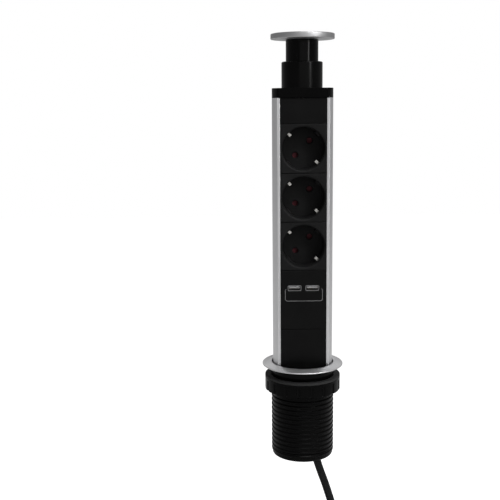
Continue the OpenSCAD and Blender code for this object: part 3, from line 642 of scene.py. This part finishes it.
def plug_cuts(centre, nose_r, grip_r, nose_z, grip_z):
    """What is cut out of the plug: two guide slots, two beds for the earth strips, and the grip's flutes."""
    below = 1
    slot_deep, slot_half_w = 2, 2.5
    bed_deep, bed_half_w, bed_short = 1.1, 3.1, 2.9
    flutes, flute_r, flute_off, sides = 28, 1.1, 0.5, 10
    bottom, top = nose_z
    tool = bmesh.new()
    for side in (-1, 1):
        x = centre.x + side * nose_r
        block(tool, (x - slot_deep, centre.y - slot_half_w, bottom - below),
              (x + slot_deep, centre.y + slot_half_w, top))
        y = centre.y + side * nose_r
        block(tool, (centre.x - bed_half_w, y - bed_deep, bottom - below),
              (centre.x + bed_half_w, y + bed_deep, top - bed_short))
    for angle in angles(flutes):
        x = centre.x + (grip_r + flute_off) * math.cos(angle)
        y = centre.y + (grip_r + flute_off) * math.sin(angle)
        tube(tool, [Vector((x, y, z)) for z in grip_z], flute_r, sides)
    return tool


def plug_shell():
    """The plug's body: a nose with slots and beds, and a fluted grip."""
    low, high = box("plug_body")
    centre = middle("plug_body")
    step, nose_over, sides = 1.3, 3, 96
    nose_edge, step_edge, shoulder_r, back_r = 1.2, 0.8, 3, 2.5
    shoulder_h, shoulder_w = 5, 6
    flute_start, flute_end = 3, 6.5
    grip_r = (high.x - low.x) / 2
    nose_r = grip_r - step
    nose_top = box("plug_earth_strips")[1].z + nose_over
    profile = rounded([(0, low.z, 0), (nose_r, low.z, nose_edge), (nose_r, nose_top, 0),
                       (grip_r, nose_top, step_edge), (grip_r, high.z - shoulder_h, shoulder_r),
                       (grip_r - shoulder_w, high.z, back_r), (0, high.z, 0)])
    bm = bmesh.new()
    turned(bm, profile, centre, sides)
    flute_z = (nose_top + flute_start, high.z - flute_end)
    bm = carved(bm, plug_cuts(centre, nose_r, grip_r, (low.z, nose_top), flute_z))
    return piece("plug_shell", bm, "tower", "cord_black", "plug_body")


def plug_prongs():
    """The plug's two round pins."""
    tip_r, sides = 1.9, 40
    bm = bmesh.new()
    for points in islands("plug_pins"):
        low, high = span(points)
        radius = (high.x - low.x) / 2
        profile = rounded([(0, low.z, 0), (radius, low.z, tip_r), (radius, high.z, 0), (0, high.z, 0)])
        turned(bm, profile, (low + high) / 2, sides)
    return piece("plug_prongs", bm, "tower", "nickel", "plug_pins")


# Sockets
def rim_cutter():
    """A tool that leaves a rounded rim on a cup."""
    cup_r, rim, above = 19.6, 2.0, 1
    arc = [(cup_r + rim - rim * math.sin(a), rim - rim * math.cos(a)) for a in QUARTER_TURN]
    tool = bmesh.new()
    turned(tool, [(0, -above), (cup_r + rim, -above), *arc, (0, rim)])
    return tool


def sink_cutter(depth):
    """A tool that sinks the edges of the two pin holes, in a cup's floor at some depth."""
    hole_r, sink_r, sink, sides = 2.55, 3.35, 0.9, 48
    wide = 2 * sink_r - hole_r
    cone = [(0, depth - sink), (wide, depth - sink), (hole_r, depth + sink), (0, depth + sink)]
    tool = bmesh.new()
    for side in (-1, 1):
        turned(tool, cone, (side * PIN_OFF, side * PIN_OFF), sides)
    return tool


def front_outline(bm, low, high):
    """The outer edges of a plate's front face."""
    centre_z = (low.z + high.z) / 2
    half_h = (high.z - low.z) / 2
    half_w = max(v.co.x for v in bm.verts if v.co.y < low.y + MERGE)
    outline = []
    for edge in bm.edges:
        ends = [vert.co for vert in edge.verts]
        in_front = all(end.y < low.y + MERGE for end in ends)
        at_side = all(abs(abs(end.x) - half_w) < MERGE for end in ends)
        at_end = all(abs(abs(end.z - centre_z) - half_h) < MERGE for end in ends)
        if in_front and (at_side or at_end):
            outline.append(edge)
    return outline


def socket_shell(index):
    """One socket face whose cup has a rounded rim, whose pin holes are sunk and whose outline is softened."""
    node = f"socket_face_{index}"
    low, high = box(node)
    floor_t, play, flat = 2.0, 0.2, 0.999
    floor_depth = box(f"shutter_{index}")[0].y - play - floor_t - low.y
    upright = Matrix(((1, 0, 0, 0), (0, 0, 1, low.y), (0, 1, 0, (low.z + high.z) / 2), (0, 0, 0, 1)))
    bm = cad_shape(node)
    for tool in (rim_cutter(), sink_cutter(floor_depth)):
        bmesh.ops.transform(tool, matrix=upright, verts=tool.verts)
        bm = carved(bm, tool)
    round_edges(bm, front_outline(bm, low, high), PLATE_EDGE, steps=2)
    shell = piece(f"socket_shell_{index}", bm, "tower", "face_plastic", node)
    shell.modifiers.new("normals", "WEIGHTED_NORMAL").keep_sharp = True
    # Faces that look straight ahead are shaded flat, because their long triangles would show as streaks
    for face in shell.data.polygons:
        face.use_smooth = abs(face.normal.y) < flat


def earth_clip(index):
    """The bent strip of one socket, whose two rounded lips stand in the cup."""
    node = f"earth_stirrup_{index}"
    low, high = box(node)
    thick, width, edge, stem_half_w = 0.7, 2.5, 0.15, 1.5
    tip, lip, leg = 20.0, 16.1, 21.7
    lip_r, bend_r, foot_r = 1.0, 1.5, 1.2
    lip_y = low.y + thick / 2
    turn_y = lip_y + 2.75
    root_y = low.y + 6.2
    back_y = high.y - 2.5 + thick / 2
    half = [(tip, lip_y, 0), (lip, lip_y, lip_r), (lip, turn_y, bend_r), (leg, root_y, bend_r),
            (leg, back_y, foot_r)]
    corners = half + [(-u, y, radius) for u, y, radius in reversed(half)]
    centre = Vector((0, 0, middle(f"socket_face_{index}").z))
    line = [centre + SLANT * p.x + Vector((0, p.y, 0)) for p in rounded(corners)]
    bm = bmesh.new()
    strip(bm, line, PIN_LINE, width, thick)
    bevel_edges(bm, edge)
    block(bm, (-stem_half_w, back_y, centre.z - stem_half_w), (stem_half_w, high.y, centre.z + stem_half_w))
    piece(f"earth_clip_{index}", bm, "tower", "nickel", node)


def shutter_bar(index):
    """One red shutter with a sloped recess behind each pin hole, on which a pin pushes it aside."""
    node = f"shutter_{index}"
    front = box(node)[0].y
    shallow_end, deep_end, deep, half_w, above = 2.3, -2.8, 1.3, 2.8, 1
    slope = ((shallow_end, front), (deep_end, front + deep), (deep_end, front - above),
             (shallow_end, front - above))
    centre = Vector((0, 0, middle(f"socket_face_{index}").z))
    place = Matrix((SLANT, Vector((0, 1, 0)), PIN_LINE)).transposed().to_4x4()
    tool = bmesh.new()
    for side in (-1, 1):
        place.translation = centre + PIN_LINE * side * PIN_REACH
        prism(tool, slope, -half_w, half_w, place)
    bm = carved(cad_shape(node), tool)
    piece(f"shutter_bar_{index}", bm, body_of(node), "red_plastic", node)


# Springs and wires
def spring_line(foot, axis, length, radius, wire, turns):
    """Points of a wound wire whose end turns lie flat."""
    points_per_turn, flat_turn = 28, 1.08
    side = axis.orthogonal().normalized()
    other = axis.cross(side)
    closed = wire * flat_turn
    open_rise = length - wire - 2 * closed
    line = []
    for index in range(turns * points_per_turn + 1):
        turn = index / points_per_turn
        open_share = min(max((turn - 1) / (turns - 2), 0), 1)
        height = closed * min(turn, 1) + open_rise * open_share + closed * max(turn - turns + 1, 0)
        angle = 2 * math.pi * turn
        out = radius * (math.cos(angle) * side + math.sin(angle) * other)
        line.append(foot + axis * (wire / 2 + height) + out)
    return line


def neck_spring(name, node, body):
    """One of the two springs in the necks."""
    low, high = box(node)
    wire, turns, sides = 1.4, 9, 10
    up = Vector((0, 0, 1))
    radius = (high.y - low.y - wire) / 2
    length = high.z - low.z
    foot = Vector((0, (low.y + high.y) / 2, low.z))
    bm = bmesh.new()
    tube(bm, spring_line(foot, up, length, radius, wire, turns), wire / 2, sides)
    spring = piece(name, bm, body, "sprung_steel", node)
    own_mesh(spring)


def pin_spring(index):
    """The spring that pushes one shutter back."""
    node, joint = f"shutter_spring_{index}", f"shutter_{index}_slide"
    wire, radius, turns, sides = 0.5, 1.6, 5, 8
    start, end = 3.25, 15.95
    length = end - start
    centre = Vector((0, middle(node).y, middle(f"socket_face_{index}").z))
    bm = bmesh.new()
    tube(bm, spring_line(centre + SLANT * start, SLANT, length, radius, wire, turns), wire / 2, sides)
    spring = piece(f"pin_spring_{index}", bm, "tower", "sprung_steel", node)
    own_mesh(spring)


def core_wire(name, node, slot, start, end_x):
    """One core of the cord, from the gland up to its bar at the back."""
    low, high = box(node)
    radius, sides, steps = 1.25, 16, 8
    straight, sweep = 12, 14
    x, y = start
    back = high.y - radius
    bend = low.z + straight
    bent = bend + 2 * sweep
    points = [Vector((x, y, low.z)), Vector((x, y, bend)), Vector(((x + end_x) / 2, back / 2, bend + sweep)),
              Vector((end_x, back, bent)), Vector((end_x, back, (bent + high.z) / 2)),
              Vector((end_x, back, high.z))]
    bm = bmesh.new()
    tube(bm, smooth_line(points, steps), radius, sides)
    piece(name, bm, "tower", slot, node)


# Turned metal and sleeve
def lid_disc():
    """The lid, with a fine groove near its rim."""
    low, high = box("lid")
    lower_edge, upper_edge = 0.45, 0.9
    groove_in, groove_half_w, groove_deep = 3.2, 0.3, 0.25
    radius = high.x
    groove = radius - groove_in
    corners = [(0, low.z, 0), (radius, low.z, lower_edge), (radius, high.z, upper_edge),
               (groove + groove_half_w, high.z, 0), (groove, high.z - groove_deep, 0),
               (groove - groove_half_w, high.z, 0), (0, high.z, 0)]
    bm = bmesh.new()
    turned(bm, rounded(corners), sides=FINE_SIDES)
    piece("lid_disc", bm, "head", "satin_aluminium", "lid", material=LID)


def flange_disc():
    """The flange ring, whose top slopes down to a thin outer edge."""
    low, high = box("flange_ring")
    lid_gap, sleeve_gap, bed_top = 0.25, 0.1, 1.0
    edge_h, edge_r, foot_r, flat_w, slope_r = 0.9, 0.5, 0.15, 2, 2.5
    radius = high.x
    hole = box("lid")[1].x + lid_gap
    bed = box("ribbed_sleeve")[1].x + sleeve_gap
    corners = [(hole, bed_top, 0), (bed, bed_top, 0), (bed, low.z, 0), (radius, low.z, foot_r),
               (radius, edge_h, edge_r), (hole + flat_w, high.z, slope_r), (hole, high.z, edge_r)]
    bm = bmesh.new()
    turned(bm, rounded(corners), sides=FINE_SIDES)
    piece("flange_disc", bm, "mount", "satin_aluminium", "flange_ring", material=FLANGE)


def ribbed_tube():
    """The sleeve, plain at its top and ribbed below."""
    low, high = box("ribbed_sleeve")
    bore_in, wall = 0.65, 0.35
    plain_h, ribs, land_share, flank_share = 10.3, 16, 0.32, 0.16
    end_r, rim_r, shoulder_r, root_r, crest_r = 0.2, 0.1, 0.25, 0.1, 0.15
    rim = high.x
    crest = rim - RIB_INSET
    bore = box("lid")[1].x - bore_in
    root = bore + wall
    pitch = (-plain_h - low.z) / ribs
    land = land_share * pitch
    flank = flank_share * pitch
    corners = [(bore, low.z, end_r), (bore, high.z, end_r), (rim, high.z, end_r), (rim, 0, rim_r),
               (crest, 0, 0), (crest, -plain_h, shoulder_r), (root, -plain_h - flank, end_r)]
    for rib in range(1, ribs + 1):
        z = -plain_h - rib * pitch
        corners += [(root, z + 2 * flank + land, root_r), (crest, z + flank + land, crest_r),
                    (crest, z + flank, crest_r), (root, z, root_r)]
    bm = bmesh.new()
    turned(bm, rounded(corners, RIB_STEPS))
    piece("ribbed_tube", bm, "mount", "black_plastic", "ribbed_sleeve")


def cap_rib():
    """One more rib round the cap, like those of the sleeve above it."""
    sleeve_low, sleeve_high = box("ribbed_sleeve")
    sunk, gap, flank, land, crest_r = 0.1, 1.0, 0.7, 1.6, 0.15
    cap = box("bottom_cap")[1].x - sunk
    crest = sleeve_high.x - RIB_INSET
    top = sleeve_low.z - gap
    corners = [(cap, top, 0), (crest, top - flank, crest_r), (crest, top - flank - land, crest_r),
               (cap, top - 2 * flank - land, 0)]
    bm = bmesh.new()
    turned(bm, rounded(corners, RIB_STEPS))
    piece("cap_rib", bm, "tower", "black_plastic")


# Small parts
def screw(points):
    """One screw with a cross in its head, from the points of the CAD's plain one, whichever way it looks."""
    low, high = span(points)
    centre = (low + high) / 2
    head_share, near_top = 0.9, 0.01
    shank_r, point_in, point_h, seat_r, head_edge, sides = 1.4, 0.6, 1.5, 0.2, 0.9, 40
    far, near, deep = 1.5, 0.35, 1
    head_r = (high.x - low.x) / 2
    head = [p.z for p in points if (p - centre).to_2d().length > head_share * head_r]
    if max(head) > high.z - near_top:
        way, top, foot, seat = 1, high.z, low.z, min(head)
    else:
        way, top, foot, seat = -1, low.z, high.z, max(head)
    profile = rounded([(0, foot, 0), (shank_r - point_in, foot, 0), (shank_r, foot + way * point_h, 0),
                       (shank_r, seat, 0), (head_r, seat, seat_r), (head_r, top, head_edge), (0, top, 0)])
    bm = bmesh.new()
    turned(bm, profile, centre, sides)
    cross = [(far, near), (near, near), (near, far)]
    cross += [(-y, x) for x, y in cross]
    cross += [(-x, -y) for x, y in cross]
    tool = bmesh.new()
    prism(tool, [(centre.x + x, centre.y + y) for x, y in cross], top - deep, top + deep)
    return carved(bm, tool)


def screw_set():
    """All screws of the body."""
    bm = bmesh.new()
    for points in islands("body_screws"):
        part = screw(points)
        mesh = bpy.data.meshes.new("screw")
        part.to_mesh(mesh)
        part.free()
        bm.from_mesh(mesh)
    piece("screw_set", bm, "tower", "sprung_steel", "body_screws")


def seam_lines():
    """A thin black strip in the groove between each plate and the next: painted shade that stands for the
    dark of the gap.
    """
    above, below, sunk, deep = 0.5, 0.1, 0.06, 0.5
    low, high = box("top_blank_plate")
    bm = bmesh.new()
    for upper, lower in zip(PLATES, PLATES[1:]):
        z = (box(upper)[0].z + box(lower)[1].z) / 2
        block(bm, (-high.x, low.y + sunk, z - below), (high.x, low.y + deep, z + above))
    piece("seam_lines", bm, "tower", "black_plastic", material=COLLAR)


def port_print():
    """The thin printed frame under the charging ports."""
    left, right, bottom, top = -17.0, 17.8, 64.2, 75.8
    stub, corner, half_w, proud = 1.0, 2.2, 0.24, 0.03
    face = box("usb_plate")[0].y
    points = [Vector((left + stub, 0, top)), Vector((left, 0, top - stub))]
    for x, way in ((left, 1), (right, -1)):
        arc = [Vector((x + way * corner * (1 - math.cos(a)), 0, bottom + corner * (1 - math.sin(a))))
               for a in QUARTER_TURN]
        points += arc[::way]
    points += [Vector((right, 0, top - stub)), Vector((right - stub, 0, top))]
    bm = bmesh.new()
    rings = []
    for index, point in enumerate(points):
        ahead = heading(points, index)
        across = Vector((-ahead.z, 0, ahead.x)) * half_w
        section = ((-1, face), (-1, face - proud), (1, face - proud), (1, face))
        rings.append([bm.verts.new((point.x + side * across.x, y, point.z + side * across.z))
                      for side, y in section])
    close_rings(bm, rings)
    piece("port_print", bm, "tower", "face_plastic", material=PRINT)


def port_shells():
    """The two port shells, closed at the back and rounded at their corners."""
    wall, corner = 0.4, 1.2
    bm = bmesh.new()
    for points in islands("usb_shells"):
        low, high = span(points)
        rings = []
        for inset, y in ((0, high.y), (0, low.y), (wall, low.y), (wall, high.y - wall)):
            outline = rounded_rectangle(low.xz, high.xz, inset, corner - inset)
            rings.append([bm.verts.new((x, y, z)) for x, z in outline])
        close_rings(bm, rings)
    piece("port_shells", bm, "tower", "nickel", "usb_shells", material=PORT)


def port_pads():
    """Four gilt contacts under each port's tongue."""
    places = (-3.5, -1, 1, 3.5)
    half_w, front_in, back_in, proud, sunk, edge = 0.5, 0.6, 3, 0.15, 0.1, 0.05
    bm = bmesh.new()
    for points in islands("usb_tongues"):
        low, high = span(points)
        for place in places:
            x = (low.x + high.x) / 2 + place
            block(bm, (x - half_w, low.y + front_in, low.z - proud),
                  (x + half_w, high.y - back_in, low.z + sunk))
    bevel_edges(bm, edge, steps=1)
    piece("port_pads", bm, "tower", "brass", material=GOLD)


# CAD nodes that stay as they are
EDGES = {"tower_profile": 0.25, "top_collar": 0.4, "outer_neck": 0.3, "inner_neck": 0.2, "bottom_cap": 0.3,
         "clamp_ring": 0.4, "clamp_pad": 0.3, "usb_tongues": 0.15, "cord_gland": 0.4,
         "plug_earth_strips": 0.2, "guide_key": 0.3, "spring_cup": 0.2}


def soften(node, width, clamped=True):
    """Rounds the edges of a CAD node."""
    obj = bpy.data.objects[node]
    weld = obj.modifiers.new("weld", "WELD")
    weld.merge_threshold = MERGE * MM
    bevel = obj.modifiers.new("edges", "BEVEL")
    bevel.width = width * MM
    bevel.segments = 2
    bevel.limit_method = "ANGLE"
    bevel.angle_limit = SHARP_ANGLE
    bevel.use_clamp_overlap = clamped
    normals = obj.modifiers.new("normals", "WEIGHTED_NORMAL")
    normals.keep_sharp = True


def dress_frame():
    """Gives each CAD node the material of its slot or its own, and softens those that show."""
    own = {"outer_neck": NECK, "inner_neck": NECK, "top_collar": COLLAR, "usb_tongues": TONGUE}
    own.update({plate: PLATE for plate in PLAIN_PLATES})
    for row in frame["record"]["subparts"]:
        obj = bpy.data.objects[row["node"]]
        obj.data.materials.clear()
        obj.data.materials.append(own.get(row["node"], MATERIALS[row["material_slot"]]))
    for node, width in EDGES.items():
        soften(node, width)
    for plate in PLAIN_PLATES:
        soften(plate, PLATE_EDGE, clamped=False)


# Stage, light and camera
def glow(tree, always, to_camera, mirrored):
    """A strength that differs by ray: one for all, and more to the camera or in mirrors and clear parts."""
    path = tree.nodes.new("ShaderNodeLightPath")
    seen = tree.nodes.new("ShaderNodeMath")
    seen.operation = "ADD"
    tree.links.new(path.outputs["Is Glossy Ray"], seen.inputs[0])
    tree.links.new(path.outputs["Is Transmission Ray"], seen.inputs[1])
    reflected = tree.nodes.new("ShaderNodeMath")
    reflected.operation = "MULTIPLY_ADD"
    reflected.inputs[1].default_value = mirrored
    reflected.inputs[2].default_value = always
    tree.links.new(seen.outputs[0], reflected.inputs[0])
    total = tree.nodes.new("ShaderNodeMath")
    total.operation = "MULTIPLY_ADD"
    total.inputs[1].default_value = to_camera
    tree.links.new(path.outputs["Is Camera Ray"], total.inputs[0])
    tree.links.new(reflected.outputs[0], total.inputs[2])
    return total.outputs[0]


def world():
    """A white backdrop that gives the object only a faint light."""
    light = 0.2
    scene_world = bpy.data.worlds.new("studio")
    bpy.context.scene.world = scene_world
    scene_world.use_nodes = True
    tree = scene_world.node_tree
    sky = tree.nodes["Background"]
    sky.inputs["Color"].default_value = (1, 1, 1, 1)
    tree.links.new(glow(tree, always=light, to_camera=1 - light, mirrored=0.12), sky.inputs["Strength"])


def floor():
    """A pale floor, below the lowest place that the part can reach."""
    size, tone, clearance = 6.0, 0.86, 2
    z = cad_box[0][2] - (travel("tower_slide") + clearance) * MM
    corners = [(x, y, z) for x, y in rectangle((-size, -size), (size, size))]
    mesh = bpy.data.meshes.new("floor")
    mesh.from_pydata(corners, [], [(0, 1, 2, 3)])
    material = surface("pale_floor", (tone, tone, tone), roughness=0.9, specular=0.0)
    tree = material.node_tree
    shine = tree.nodes.new("ShaderNodeEmission")
    both = tree.nodes.new("ShaderNodeAddShader")
    tree.links.new(glow(tree, always=0.0, to_camera=tone, mirrored=0.32), shine.inputs["Strength"])
    tree.links.new(tree.nodes["Principled BSDF"].outputs[0], both.inputs[0])
    tree.links.new(shine.outputs[0], both.inputs[1])
    tree.links.new(both.outputs[0], tree.nodes["Material Output"].inputs["Surface"])
    mesh.materials.append(material)
    plane = bpy.data.objects.new("floor", mesh)
    bpy.context.collection.objects.link(plane)


def lamp(name, place, aim, size, power):
    """A rectangular lamp that looks at a point."""
    light = bpy.data.lights.new(name, "AREA")
    light.shape = "RECTANGLE"
    light.size, light.size_y = size
    light.energy = power
    obj = bpy.data.objects.new(name, light)
    obj.location = place
    obj.rotation_euler = (Vector(aim) - Vector(place)).to_track_quat("-Z", "Y").to_euler()
    bpy.context.collection.objects.link(obj)


def camera():
    """The camera, placed and turned as in the photo."""
    place = (-0.0554, -0.8335, 0.2464)
    tilt, yaw, roll = math.radians(9.236), math.radians(0.395), math.radians(-0.533)
    forward = Vector((math.sin(yaw) * math.cos(tilt), math.cos(yaw) * math.cos(tilt), -math.sin(tilt)))
    right = forward.cross(Vector((0, 0, 1))).normalized()
    up = right.cross(forward)
    level = math.cos(roll) * right + math.sin(roll) * up
    upright = math.cos(roll) * up - math.sin(roll) * right
    data = bpy.data.cameras.new("camera")
    data.lens = 64.27
    data.sensor_width = 36
    data.clip_start = 0.01
    obj = bpy.data.objects.new("camera", data)
    turn = Matrix((level, upright, -forward)).transposed()
    obj.matrix_world = Matrix.Translation(place) @ turn.to_4x4()
    bpy.context.collection.objects.link(obj)
    bpy.context.scene.camera = obj


camera()
cord_exit = Vector((CORD_X, 0, box("cord_gland")[0].z))
mains_lead = cord(cord_exit)
on_lead = [coil_strap(), plug_sleeve(), plug_shell(), plug_prongs(), "plug_earth_strips"]
neck_spring("spring_lower", "lower_spring", "neck")
neck_spring("spring_upper", "upper_spring", "head")
for number in (1, 2, 3):
    socket_shell(number)
    earth_clip(number)
    shutter_bar(number)
    pin_spring(number)
core_wire("core_line", "line_wire", "brown_wire", start=(CORD_X - CORE_OFF, 0), end_x=-PIN_OFF)
core_wire("core_neutral", "neutral_wire", "blue_wire", start=(CORD_X + CORE_OFF / 2, CORE_OFF), end_x=PIN_OFF)
core_wire("core_earth", "earth_wire", "earth_wire_green", start=(CORD_X + CORE_OFF / 2, -CORE_OFF), end_x=0)
lid_disc()
flange_disc()
ribbed_tube()
cap_rib()
screw_set()
seam_lines()
port_print()
port_shells()
port_pads()
dress_frame()

bpy.context.scene.view_settings.view_transform = "Standard"
world()
floor()
lamp("key", place=(1.0, -0.9, 1.2), aim=(0, 0, 0.12), size=(0.9, 0.9), power=12)
lamp("front", place=(0.25, -1.9, 0.85), aim=(0, 0, 0.15), size=(2.0, 1.3), power=3.6)
lamp("top", place=(0.2, -0.8, 1.4), aim=(0, 0, 0.15), size=(0.8, 0.5), power=10)
lamp("strip", place=(0.9, -0.95, 0.76), aim=(0, 0, 0.5), size=(0.13, 0.9), power=5.4)
lamp("back", place=(0, 1.6, 1.05), aim=(0, 0, 0.0), size=(2.4, 0.8), power=3.8)
